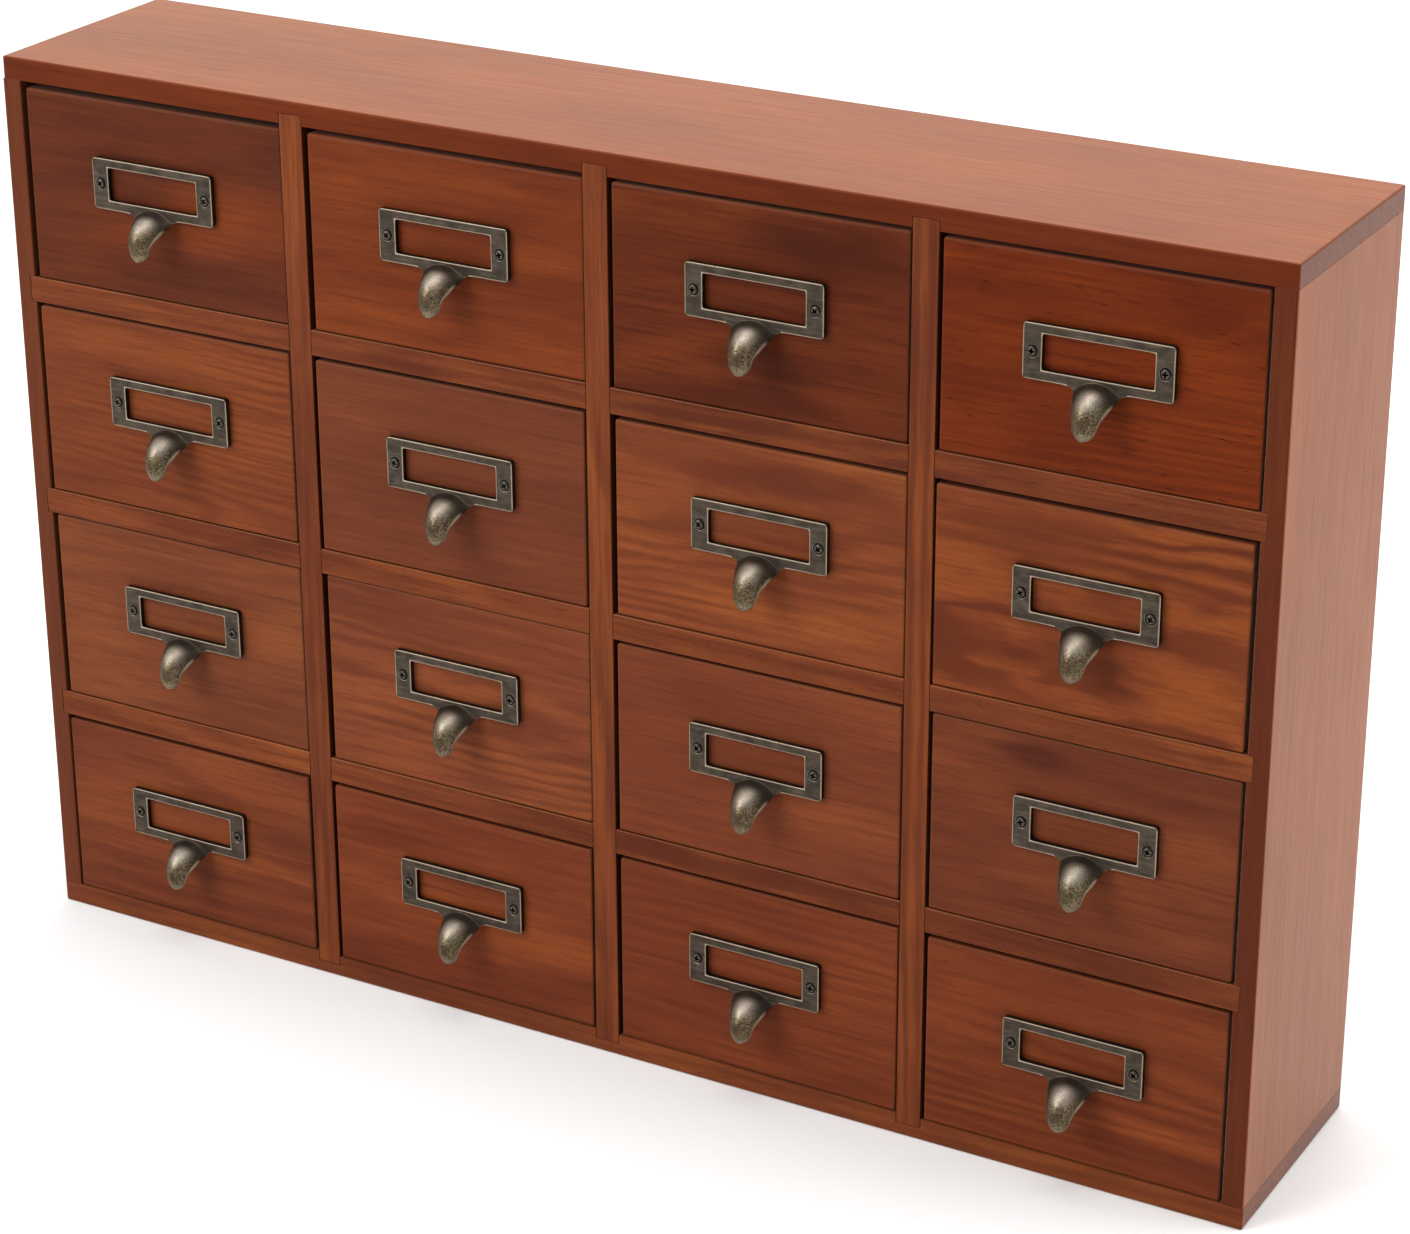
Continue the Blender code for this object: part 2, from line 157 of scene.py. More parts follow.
def make_camera():
    data = bpy.data.cameras.new("camera")
    camera = new_object("camera", data)
    camera.location = CAMERA_PLACE
    turn = Euler((radians(90 - CAMERA_DOWN), 0, radians(CAMERA_AZIMUTH))).to_matrix()
    camera.rotation_euler = (turn @ Matrix.Rotation(radians(CAMERA_ROLL), 3, "Z")).to_euler()
    data.sensor_width = SENSOR
    data.lens = CAMERA_LENS
    data.clip_start = 0.05
    data.clip_end = 50
    bpy.context.scene.camera = camera


def make_floor():
    mesh = bpy.data.meshes.new("floor")
    shape = bmesh.new()
    bmesh.ops.create_grid(shape, x_segments=2, y_segments=2, size=FLOOR_HALF_SIZE)
    shape.to_mesh(mesh)
    shape.free()
    floor = new_object("floor", mesh)
    floor.location.z = -FLOOR_DROP
    paint = Nodes("floor_paint")
    paint.set(Base_Color=FLOOR_GREY, Roughness=0.9, Specular_IOR_Level=0.1)
    mesh.materials.append(paint.material)


def make_light(name, place, target, size, power):
    data = bpy.data.lights.new(name, "AREA")
    data.shape = "SQUARE"
    data.size = size
    data.energy = power
    light = new_object(name, data)
    light.location = place
    light.rotation_euler = (Vector(target) - Vector(place)).to_track_quat("-Z", "Y").to_euler()


def make_lighting():
    world = bpy.data.worlds.new("studio")
    world.use_nodes = True
    background = world.node_tree.nodes["Background"]
    background.inputs["Color"].default_value = (1, 1, 1, 1)
    background.inputs["Strength"].default_value = WORLD_STRENGTH
    scene = bpy.context.scene
    scene.world = world
    scene.view_settings.view_transform = "Standard"
    for light in LIGHTS:
        make_light(*light)


# ---------------------------------------------------------------- shader helpers

class Nodes:
    """A material's node tree, with short calls for the nodes used here.

    A socket's value is either a constant or another node's output. In keyword names an underscore
    stands for a space.
    """

    def __init__(self, name):
        self.material = bpy.data.materials.new(name)
        self.material.use_nodes = True
        self.tree = self.material.node_tree
        self.shader = self.tree.nodes["Principled BSDF"]

    def add(self, kind, settings=(), **inputs):
        node = self.tree.nodes.new(kind)
        for key, value in dict(settings).items():
            setattr(node, key, value)
        for key, value in inputs.items():
            self.put(node.inputs[key.replace("_", " ")], value)
        return node

    def put(self, socket, value):
        if isinstance(value, bpy.types.NodeSocket):
            self.tree.links.new(value, socket)
        else:
            socket.default_value = value

    def maths(self, operation, a, b=0.0):
        node = self.tree.nodes.new("ShaderNodeMath")
        node.operation = operation
        self.put(node.inputs[0], a)
        self.put(node.inputs[1], b)
        return node.outputs[0]

    def product(self, first, *factors):
        """All the values multiplied together."""
        for factor in factors:
            first = self.maths("MULTIPLY", first, factor)
        return first

    def vector(self, operation, a, b, output="Vector"):
        node = self.tree.nodes.new("ShaderNodeVectorMath")
        node.operation = operation
        self.put(node.inputs[0], a)
        self.put(node.inputs[1], b)
        return node.outputs[output]

    def distance(self, a, b):
        return self.vector("DISTANCE", a, b, "Value")

    def squeezed(self, place, factor):
        """A place whose x is scaled down, so that a texture read there is drawn out along x."""
        return self.vector("MULTIPLY", place, (factor, 1, 1))

    def sway(self, place, scale, reach):
        """A vector that wanders across x, by up to about a quarter of reach either way."""
        node = self.add("ShaderNodeTexNoise", Vector=place, Scale=scale, Detail=2.0)
        middle = self.vector("SUBTRACT", node.outputs["Color"], (0.5, 0.5, 0.5))
        return self.vector("MULTIPLY", middle, (0, reach, reach))

    def noise(self, place, scale, detail=2.0, roughness=0.5):
        node = self.add("ShaderNodeTexNoise", Vector=place, Scale=scale, Detail=detail,
                        Roughness=roughness)
        return node.outputs["Fac"]

    def remap(self, value, low, high, to_low=0.0, to_high=1.0):
        """The value eased from one range to another, and held at the ends."""
        node = self.tree.nodes.new("ShaderNodeMapRange")
        node.interpolation_type = "SMOOTHSTEP"
        for index, item in enumerate((value, low, high, to_low, to_high)):
            self.put(node.inputs[index], item)
        return node.outputs[0]

    def mix(self, share, a, b, blend="MIX"):
        """Colour a with a share of colour b."""
        node = self.tree.nodes.new("ShaderNodeMix")
        node.data_type = "RGBA"
        node.blend_type = blend
        self.put(node.inputs[0], share)
        self.put(node.inputs[6], a)
        self.put(node.inputs[7], b)
        return node.outputs[2]

    def multiplied(self, share, shade, factors):
        """A colour multiplied by a factor for each channel, where the share says."""
        return self.mix(share, shade, self.mix(1.0, shade, tuple(factors) + (1.0,), "MULTIPLY"))

    def set(self, **inputs):
        """Sets the shader's own sockets."""
        for key, value in inputs.items():
            self.put(self.shader.inputs[key.replace("_", " ")], value)


# ---------------------------------------------------------------- wood

GRAIN_TURN = {"x": (0, 0, 0), "y": (0, 0, -pi / 2), "z": (0, pi / 2, 0)}
# Painted highlight colour of the rounded edges, partly rubbed stain
ARRIS_HIGHLIGHT_AND_RUB = (0.50, 0.225, 0.115, 1.0)
# Colour factors for painted shade on the faces towards an opening
GAP_SIDE_SHADE = (0.26, 0.24, 0.26)
LACQUER_SHEEN = (1.0, 0.93, 0.79, 1)
LACQUER_SHEEN_ROUGHNESS = 0.27


def tint(tone, red, green, blue):
    """A tone times a factor for each channel."""
    return tone[0] * red, tone[1] * green, tone[2] * blue, 1.0


class Grain:
    """The textures of one board, whose grain runs along x.

    late_wood and early_wood are the growth rings about a pith off the board's middle, clouds the
    uneven stain, streaks and fibres run along the grain, and hair and dash are fine dark marks in
    it. loose is the place that the softest of them are read at.
    """

    def __init__(self, nodes, board, seed, pitch, curl):
        draw = random.Random(seed)
        scattered = nodes.vector("ADD", board, [draw.uniform(-3, 3) for _ in range(3)])
        long = nodes.squeezed(scattered, 0.12)
        self.loose = nodes.squeezed(scattered, 0.32)

        pith = (0, draw.choice((-1, 1)) * draw.uniform(30, 70) * MM, draw.uniform(-45, 45) * MM)
        lean = (0, draw.uniform(-0.035, 0.035), draw.uniform(-0.03, 0.03))
        bent = nodes.vector("ADD", board, nodes.sway(long, 16, 26 * MM))
        bent = nodes.vector("ADD", bent, nodes.sway(self.loose, 55, 5.5 * curl * MM))
        bent = nodes.add("ShaderNodeMapping", Vector=bent, Rotation=lean).outputs[0]
        reach = nodes.distance(nodes.vector("MULTIPLY", bent, (0, 1, 1)), pith)
        rings = nodes.maths("SINE", nodes.product(reach, FULL_TURN / (pitch * MM)))
        patchy = nodes.remap(nodes.noise(self.loose, 17), 0.38, 0.58, 0.15, 1.0)
        self.late_wood = nodes.product(nodes.remap(rings, -0.1, 1.0), patchy)
        self.early_wood = nodes.product(nodes.remap(rings, -0.2, -1.0), patchy)

        self.clouds = nodes.noise(self.loose, 20, 3.0, 0.55)
        self.fibres = nodes.noise(nodes.squeezed(scattered, 0.045), 800, 3.0, 0.6)
        self.streaks = nodes.noise(nodes.squeezed(scattered, 0.06), 300, 4.0, 0.6)
        hair = nodes.noise(nodes.squeezed(scattered, 0.03), 420, 1.5)
        self.hair = nodes.remap(hair, 0.58, 0.69)
        dash = nodes.noise(nodes.squeezed(scattered, 0.09), 1300, 1.0)
        self.dash = nodes.remap(dash, 0.66, 0.76)


def painted_bands(nodes, board, loose, shade, pale, dark, bands):
    """Broad paler or darker bands of the stain, with soft ragged outlines.

    Each band is (x, z, length, width, slope, amount). The first four are in mm about the board's
    middle, the slope is in radians, and a band is paler where its amount is above 0.
    """
    ragged = nodes.maths("SUBTRACT", nodes.noise(loose, 48, 3.0), 0.5)
    ragged = nodes.product(ragged, 1.7)
    for x, z, length, width, slope, amount in bands:
        leaning = nodes.add("ShaderNodeMapping", Vector=board, Rotation=(0, slope, 0)).outputs[0]
        near = nodes.vector("MULTIPLY", leaning, (1 / (length * MM), 0, 1 / (width * MM)))
        away = nodes.distance(near, (x / length, 0, z / width))
        away = nodes.maths("ADD", away, ragged)
        share = nodes.remap(away, 0.25, 1.1, min(1.0, 1.3 * abs(amount)), 0.0)
        shade = nodes.mix(share, shade, pale if amount > 0 else dark)
    return shade


def stained_wood(name, seed, node, grain="x", tone=(0.150, 0.034, 0.0095), cloud=0.5,
                 stripes=0.25, pitch=6.0, curl=1.0, hairs=0.25, dashes=0.3, bands=(),
                 arris=0.0, edge=None, inner=(), end=(0.85, 0.82, 0.87), relief=1.0,
                 light=(1.50, 1.62, 1.25), deep=(0.56, 0.50, 0.62), haze=1.0, gloss=0.05):
    """Stained pine with a satin lacquer, its grain in three dimensions about the board's middle.

    tone is the stain's linear colour, and light and deep are its factors where it is paler and
    darker. cloud, stripes, hairs and dashes say how strongly each is seen. pitch is the growth
    rings' spacing in mm, and curl is how much they wander. end and edge are colour factors for
    the end grain and the front edge, and inner has the signs of the sides that face an opening,
    which get painted shade.
    arris is how strongly the rounded edges get a painted highlight, partly rubbed stain, and below
    0 how strongly they get painted shade.
    """
    nodes = Nodes(name)
    low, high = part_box(node)
    source = nodes.add("ShaderNodeTexCoord").outputs
    centred = nodes.vector("SUBTRACT", source["Object"], (low + high) / 2)
    board = nodes.add("ShaderNodeMapping", Vector=centred, Rotation=GRAIN_TURN[grain]).outputs[0]
    figure = Grain(nodes, board, seed, pitch, curl)

    body = (*tone, 1.0)
    pale = tint(body, *light)
    dark = tint(body, *deep)
    clouded = min(1.0, 1.15 * cloud)
    shade = nodes.mix(nodes.remap(figure.clouds, 0.49, 0.66, 0.0, clouded), body, pale)
    shade = nodes.mix(nodes.remap(figure.clouds, 0.48, 0.33, 0.0, clouded), shade, dark)
    dark_streaks = nodes.remap(figure.streaks, 0.50, 0.68, 0.0, 0.60 * cloud + 0.05)
    shade = nodes.mix(dark_streaks, shade, dark)
    pale_streaks = nodes.remap(figure.streaks, 0.48, 0.31, 0.0, 0.44 * cloud + 0.02)
    shade = nodes.mix(pale_streaks, shade, pale)
    if bands:
        shade = painted_bands(nodes, board, figure.loose, shade, pale, dark, bands)
    shade = nodes.mix(nodes.product(figure.late_wood, min(1.0, 1.4 * stripes)), shade, dark)
    shade = nodes.mix(nodes.product(figure.early_wood, min(1.0, 0.8 * stripes)), shade, pale)
    shade = nodes.mix(nodes.product(figure.hair, hairs), shade, dark)
    pit = tint(dark, 0.6, 0.55, 0.6)
    shade = nodes.mix(nodes.product(figure.dash, 1.1 * dashes), shade, pit)
    shade = nodes.mix(nodes.remap(figure.fibres, 0.35, 0.75, 0.0, 0.38), shade, dark)

    outward = nodes.add("ShaderNodeSeparateXYZ", Vector=source["Normal"]).outputs
    facing = nodes.vector("ABSOLUTE", source["Normal"], (0, 0, 0))
    facing = nodes.add("ShaderNodeSeparateXYZ", Vector=facing).outputs
    end_grain = nodes.remap(facing[grain.upper()], 0.75, 0.98)
    shade = nodes.multiplied(end_grain, shade, end)
    if edge:
        shade = nodes.multiplied(nodes.remap(facing["Y"], 0.55, 0.85), shade, edge)
    # Painted shade on the faces towards an opening, so the gaps beside the drawers look dark
    for sign in inner:
        sideways = nodes.product(outward["X"], sign)
        shade = nodes.multiplied(nodes.remap(sideways, 0.30, 0.75), shade, GAP_SIDE_SHADE)
    # Painted highlight along the rounded edges, partly rubbed stain; with arris below 0, painted
    # shade along them
    if arris:
        square = nodes.maths("MAXIMUM", facing["X"], facing["Y"])
        square = nodes.maths("MAXIMUM", square, facing["Z"])
        rounded = nodes.remap(square, 0.985, 0.94, 0.0, abs(arris))
        rounded = nodes.product(rounded, nodes.remap(figure.streaks, 0.30, 0.62, 0.55, 1.0))
        # The painted highlight is brightest on upward edges and their outer facet, where the light
        # falls
        if arris > 0:
            upper = nodes.remap(outward["Z"], -0.6, 0.5, 0.2, 1.0)
            outer = nodes.remap(facing["Y"], 0.85, 0.45, 0.2, 1.0)
            rounded = nodes.product(rounded, upper, outer)
        shade = nodes.mix(rounded, shade, ARRIS_HIGHLIGHT_AND_RUB if arris > 0 else dark)

    height = nodes.product(figure.fibres, 0.5)
    height = nodes.maths("ADD", height, nodes.product(figure.streaks, 1.2))
    height = nodes.maths("SUBTRACT", height, nodes.product(figure.hair, 0.7))
    height = nodes.maths("SUBTRACT", height, nodes.product(figure.dash, 0.5))
    off_the_ends = nodes.maths("SUBTRACT", 1.0, nodes.product(end_grain, 0.9))
    height = nodes.product(height, off_the_ends)
    bump = nodes.add("ShaderNodeBump", Height=height, Strength=0.30 * relief, Distance=0.25 * MM)
    roughness = nodes.remap(figure.streaks, 0.3, 0.8, 0.32, 0.45)
    nodes.set(Base_Color=shade, Roughness=roughness, Normal=bump.outputs[0],
              Specular_IOR_Level=gloss, Sheen_Weight=haze,
              Sheen_Roughness=LACQUER_SHEEN_ROUGHNESS, Sheen_Tint=LACQUER_SHEEN)
    return nodes.material


def bare_wood(name, seed, node, grain):
    """Unstained pine for the drawer boxes."""
    return stained_wood(name, seed, node, grain, tone=(0.50, 0.30, 0.135), cloud=0.4,
                        stripes=0.5, pitch=4.5, light=(1.18, 1.22, 1.30),
                        deep=(0.72, 0.58, 0.42), haze=0.2, gloss=0.3)


# ---------------------------------------------------------------- bronze

FILM_DARK = (0.041, 0.031, 0.022, 1)
FILM_LIGHT = (0.068, 0.052, 0.038, 1)
FILM_BRUSHED = (0.125, 0.098, 0.072, 1)
FILM_GRIT = (0.022, 0.018, 0.014, 1)
TONGUE_SPECK = (0.052, 0.037, 0.020, 1)
TONGUE_TAN = (0.235, 0.176, 0.103, 1)
TONGUE_STAIN_AND_SHADE = (0.050, 0.031, 0.015, 1)
TONGUE_HIGHLIGHT_AND_RUB = (0.58, 0.50, 0.41, 1)
TONGUE_FLANK_SHADE = (0.034, 0.026, 0.016, 1)
TONGUE_TIP_REFLECTION_AND_RUB = (0.28, 0.228, 0.160, 1)
RUBBED_RIM = (0.46, 0.36, 0.265, 1)
HOLLOW_SHADE = (0.012, 0.010, 0.008, 1)


def bronze(name, seed):
    """Antique bronze: a dark film with soft streaks, rubbed bright on the rims and the tongue, with
    painted highlights and painted shade on the tongue, and painted shade in the hollows.

    The mesh's attributes say where: the first of them is 1 on rubbed rims and below 0 where shade
    is painted into the screw recesses and onto the walls, along runs from 0 at the tongue's root to
    1 at its tip, and across is 0 on its crest and 1 at its sides.
    """
    nodes = Nodes(name)
    draw = random.Random(seed)
    source = nodes.add("ShaderNodeTexCoord").outputs["Object"]
    place = nodes.vector("ADD", source, [draw.uniform(-1, 1) for _ in range(3)])
    wear_and_shade, along, across = (
        nodes.add("ShaderNodeAttribute", {"attribute_name": key}).outputs["Fac"]
        for key in ("wear_and_shade", "along", "across"))
    side = nodes.maths("ABSOLUTE", across)
    patches = nodes.noise(place, 170, 3.0, 0.6)
    grit = nodes.noise(place, 2300, 3.0, 0.65)
    specks = nodes.remap(nodes.noise(place, 1150, 3.0, 0.7), 0.38, 0.62)
    brushed = nodes.noise(nodes.squeezed(place, 0.16), 620, 4.0, 0.6)

    film = nodes.mix(nodes.remap(patches, 0.32, 0.68), FILM_DARK, FILM_LIGHT)
    on_plate = nodes.remap(along, 0.05, 0.0)
    brushed = nodes.product(nodes.remap(brushed, 0.46, 0.72, 0.0, 0.50), on_plate)
    film = nodes.mix(brushed, film, FILM_BRUSHED)
    film = nodes.mix(nodes.remap(grit, 0.50, 0.75, 0.0, 0.5), film, FILM_GRIT)

    tan = nodes.mix(specks, TONGUE_SPECK, TONGUE_TAN)
    shade = nodes.mix(nodes.remap(along, 0.12, 0.50), film, tan)
    # A dark patch below the crown: partly patina, partly painted shade where the tongue faces down
    stained = nodes.product(
        nodes.remap(along, 0.56, 0.68), nodes.remap(along, 0.90, 0.78),
        nodes.remap(side, 0.9, 0.1, 0.0, 0.8), nodes.remap(patches, 0.36, 0.56, 0.4, 1.0))
    shade = nodes.mix(stained, shade, TONGUE_STAIN_AND_SHADE)
    # Painted highlight on the upper crown, where the key light is reflected, over rubbed brass
    crown = nodes.product(
        nodes.remap(along, 0.12, 0.28), nodes.remap(along, 0.58, 0.36),
        nodes.remap(side, 0.90, 0.10, 0.0, 0.85), nodes.remap(grit, 0.36, 0.60, 0.55, 1.0))
    shade = nodes.mix(crown, shade, TONGUE_HIGHLIGHT_AND_RUB)
    # Painted shade on the tongue's sides, where it curves away
    flank_shade = nodes.product(nodes.remap(along, 0.06, 0.20), nodes.remap(side, 0.50, 0.95, 0.0, 0.40))
    shade = nodes.mix(flank_shade, shade, TONGUE_FLANK_SHADE)
    # A lighter tip: partly rubbed, partly a painted reflection
    tip = nodes.product(
        nodes.remap(along, 0.84, 0.96, 0.0, 0.6), nodes.remap(grit, 0.36, 0.60, 0.4, 1.0))
    shade = nodes.mix(tip, shade, TONGUE_TIP_REFLECTION_AND_RUB)

    rim = nodes.product(nodes.remap(wear_and_shade, 0.15, 0.75), nodes.remap(grit, 0.30, 0.55, 0.55, 0.95))
    shade = nodes.mix(rim, shade, RUBBED_RIM)
    # Painted shade, near black, in the screw recesses and on the walls
    shade = nodes.mix(nodes.remap(wear_and_shade, -0.1, -0.9, 0.0, 0.92), shade, HOLLOW_SHADE)
    height = nodes.maths("ADD", nodes.product(grit, 0.5), nodes.product(patches, 0.3))
    bump = nodes.add("ShaderNodeBump", Height=height, Strength=0.35, Distance=0.12 * MM)
    nodes.set(Base_Color=shade, Roughness=nodes.remap(patches, 0.3, 0.7, 0.54, 0.46),
              Metallic=0.9, Normal=bump.outputs[0])
    return nodes.material


# ---------------------------------------------------------------- mesh helpers

def applied(thing):
    """The object's mesh with its modifiers applied. The object is removed."""
    bpy.context.view_layer.update()
    depsgraph = bpy.context.evaluated_depsgraph_get()
    mesh = bpy.data.meshes.new_from_object(thing.evaluated_get(depsgraph))
    bpy.data.objects.remove(thing)
    return mesh


# ---------------------------------------------------------------- pull

def round_corner(x, z, centre_x, centre_z, radius):
    """Moves a point near a square corner onto quarter circles about the round corner's centre."""
    a = (abs(x) - centre_x) / radius
    b = (z - centre_z) / radius if centre_z > 0 else (centre_z - z) / radius
    if a <= 0 or b <= 0:
        return x, z
    ring = max(a, b)
    angle = (b / a) * pi / 4 if a >= b else pi / 2 - (a / b) * pi / 4
    sign_x = 1 if x > 0 else -1
    sign_z = 1 if centre_z > 0 else -1
    return (
        sign_x * (centre_x + ring * radius * cos(angle)),
        centre_z + sign_z * ring * radius * sin(angle),
    )


def apron_dip(x):
    """How far the plate's lower edge dips at a distance from its middle."""
    along = min(1, max(0, (APRON_OUTER - abs(x)) / (APRON_OUTER - APRON_INNER)))
    return APRON_DROP * (1 - cos(pi * along)) / 2


def bezier(points, share):
    """The place and the direction of a Bezier curve, in the YZ plane, at a share of its run."""
    points = [Vector((0, y * MM, z * MM)) for y, z in points]
    while len(points) > 2:
        points = [a.lerp(b, share) for a, b in zip(points, points[1:])]
    return points[0].lerp(points[1], share), (points[1] - points[0]).normalized()


def tongue_place(along, across, inside):
    """A point of the tongue: along 0 to 1 from root to tip, across -1 to 1, inside 0 or 1."""
    crown, heading = bezier(TONGUE_CROWN, along)
    inward = Vector((0, -heading.z, heading.y))
    narrowing = (TONGUE_ROOT_HALF_WIDTH - TONGUE_TIP_HALF_WIDTH) * (1 - (1 - along) ** TONGUE_TAPER)
    half_width = TONGUE_ROOT_HALF_WIDTH - narrowing
    if along > TIP_START:
        turn = (along - TIP_START) / (1 - TIP_START) * TIP_TURN
        half_width *= sqrt(1 - turn ** TIP_BLUNTNESS)
    arch = TONGUE_ROOT_ARCH * (1 - along) ** 2 + TONGUE_TIP_ARCH * along ** 2
    arch += 2 * TONGUE_MIDDLE_ARCH * along * (1 - along)
    place = crown + Vector((across * half_width, 0, 0))
    return place + inward * (arch * across ** 2 + inside * TONGUE_THICKNESS)


def drawn_out(shape, faces, keep=False):
    """Extrudes faces in place, and returns the new faces and their corners.

    Blender's own extrusion makes its side faces in an order that changes from run to run. Here they
    follow the order of the faces. The old faces would be left inside the solid, so they are deleted
    unless they are to be kept.
    """
    copies = {}
    for face in faces:
        for corner in face.verts:
            if corner not in copies:
                copies[corner] = shape.verts.new(corner.co, corner)
    new_faces = [shape.faces.new([copies[corner] for corner in face.verts]) for face in faces]
    region = set(faces)
    for face in faces:
        for loop in face.loops:
            if sum(other in region for other in loop.edge.link_faces) == 1:
                start, stop = loop.vert, loop.link_loop_next.vert
                shape.faces.new((start, stop, copies[stop], copies[start]))
    if not keep:
        bmesh.ops.delete(shape, geom=faces, context="FACES")
    return new_faces, list(copies.values())


def cage_columns():
    """The x of each column of the plate's cage, from left to right."""
    half = [PLATE_HALF_WIDTH, PLATE_HALF_WIDTH - RIM, PLATE_HALF_WIDTH - PLATE_CORNER,
            WINDOW_HALF_WIDTH + RIM, WINDOW_HALF_WIDTH, WINDOW_HALF_WIDTH - WINDOW_CORNER,
            APRON_OUTER + 2 * MM, TONGUE_ROOT_HALF_WIDTH + 1.5 * MM,
            TONGUE_ROOT_HALF_WIDTH + 0.6 * MM]
    half += [v * TONGUE_ROOT_HALF_WIDTH for v in TONGUE_BAND]
    return [-x for x in half] + half[-2::-1]


def low_rows(x):
    """The z of the lower bar's five rows at x, from under the window to the lower edge.

    Where the tongue grows out of the bar, the second row is its crown and the third its inside.
    """
    edge = -PLATE_HALF_HEIGHT - apron_dip(x)
    across = x / TONGUE_ROOT_HALF_WIDTH
    if abs(across) <= 1 + TINY:
        crown = tongue_place(FACE_ROOT, across, 0).z
        inside = max(tongue_place(FACE_ROOT, across, 1).z, edge + LEAST_LIP)
        return crown + CROWN_BAND, crown, inside, (inside + edge) / 2, edge
    far = (-8.8 * MM, -9.6 * MM, -10.4 * MM, -PLATE_HALF_HEIGHT + RIM, edge)
    near = (edge + 1.7 * MM, edge + 1.1 * MM, edge + 0.5 * MM, edge + 0.25 * MM, edge)
    share = min(1, (abs(x) - TONGUE_ROOT_HALF_WIDTH) / (5 * MM))
    return tuple(n + (f - n) * share for n, f in zip(near, far))


def cage_place(x, z):
    """Where a point of the plate's square grid goes, to round the plate's and window's corners."""
    corner_x = PLATE_HALF_WIDTH - PLATE_CORNER
    corner_z = PLATE_HALF_HEIGHT - PLATE_CORNER
    place = round_corner(x, z, corner_x, corner_z, PLATE_CORNER)
    if place == (x, z) and z > -PLATE_HALF_HEIGHT - TINY:
        place = round_corner(x, z, corner_x, PLATE_CORNER - PLATE_HALF_HEIGHT, PLATE_CORNER)
    if abs(x) <= WINDOW_HALF_WIDTH + TINY and WINDOW_BOTTOM - TINY <= z <= WINDOW_TOP + TINY:
        middle = WINDOW_TOP - WINDOW_CORNER if z > 0 else WINDOW_BOTTOM + WINDOW_CORNER
        place = round_corner(x, z, WINDOW_HALF_WIDTH - WINDOW_CORNER, middle, WINDOW_CORNER)
    return place


def pull_cage():
    """The casting's control cage, for a Subdivision Surface.

    A grid of the plate's front is drawn out to its thickness, then the faces between the crown and
    the inside of the tongue's root are drawn out along the tongue.
    """
    columns = cage_columns()
    top_rows = (PLATE_HALF_HEIGHT, PLATE_HALF_HEIGHT - RIM, PLATE_HALF_HEIGHT - PLATE_CORNER,
                WINDOW_TOP + RIM, WINDOW_TOP, WINDOW_TOP - WINDOW_CORNER, 4 * MM, -4 * MM,
                WINDOW_BOTTOM + WINDOW_CORNER, WINDOW_BOTTOM, WINDOW_BOTTOM - 0.4 * MM)
    shape = bmesh.new()
    across_layer = shape.verts.layers.float.new("across")
    inside_layer = shape.verts.layers.float.new("inside")
    along_layer = shape.verts.layers.float.new("along")
    grid = []
    for x in columns:
        line = []
        for z in top_rows + low_rows(x):
            place = cage_place(x, z)
            line.append(shape.verts.new((place[0], -GLUE_GAP, place[1])))
        grid.append(line)
    window_rows = range(top_rows.index(WINDOW_TOP), top_rows.index(WINDOW_BOTTOM))
    band_row = len(top_rows) + 1
    faces = []
    for i in range(len(columns) - 1):
        inside_window = abs(columns[i] + columns[i + 1]) / 2 < WINDOW_HALF_WIDTH
        for j in range(len(grid[0]) - 1):
            if inside_window and j in window_rows:
                continue
            corners = (grid[i][j], grid[i][j + 1], grid[i + 1][j + 1], grid[i + 1][j])
            faces.append(shape.faces.new(corners))
    for i, x in enumerate(columns):
        across = x / TONGUE_ROOT_HALF_WIDTH
        if abs(across) <= 1 + TINY:
            for step, vertex in enumerate((grid[i][band_row], grid[i][band_row + 1])):
                vertex[across_layer] = across
                vertex[inside_layer] = step + 1
    loose = [v for v in shape.verts if not v.link_faces]
    bmesh.ops.delete(shape, geom=loose, context="VERTS")
    front, corners = drawn_out(shape, faces, keep=True)
    for y in (-GLUE_GAP - BACK_EDGE, -PLATE_FACE + RIM, -PLATE_FACE):
        for corner in corners:
            corner.co.y = y
        if y > -PLATE_FACE:
            front, corners = drawn_out(shape, front)
    tongue = [f for f in front if all(v[inside_layer] > 0.5 for v in f.verts)]
    under_screws = [f for f in front if abs(abs(f.calc_center_median().x) - SCREW_X) < 1.5 * MM
                    and abs(f.calc_center_median().z) < 0.5 * MM]
    for along in TONGUE_SECTIONS:
        tongue, corners = drawn_out(shape, tongue)
        for corner in corners:
            corner.co = tongue_place(along, corner[across_layer], corner[inside_layer] - 1)
            corner[along_layer] = along
    for face in under_screws:
        sink_recess(shape, face)
    bmesh.ops.recalc_face_normals(shape, faces=shape.faces)
    return shape


def sink_recess(shape, face):
    """Replaces a face of the plate with a round recess for a screw's head."""
    for edge in list(face.edges):
        bmesh.utils.edge_split(edge, edge.verts[0], 0.5)
    ring = [loop.vert for loop in face.loops]
    centre = Vector((SCREW_X if face.calc_center_median().x > 0 else -SCREW_X, -PLATE_FACE, 0))
    angles = [atan2(v.co.z - centre.z, v.co.x - centre.x) for v in ring]
    bmesh.ops.delete(shape, geom=[face], context="FACES_ONLY")
    for radius, depth in RECESS_STEPS:
        inner = [shape.verts.new(centre + Vector((radius * cos(a), depth, radius * sin(a))))
                 for a in angles]
        for k in range(len(ring)):
            n = (k + 1) % len(ring)
            shape.faces.new((ring[k], ring[n], inner[n], inner[k]))
        ring = inner
    shape.faces.new(ring)


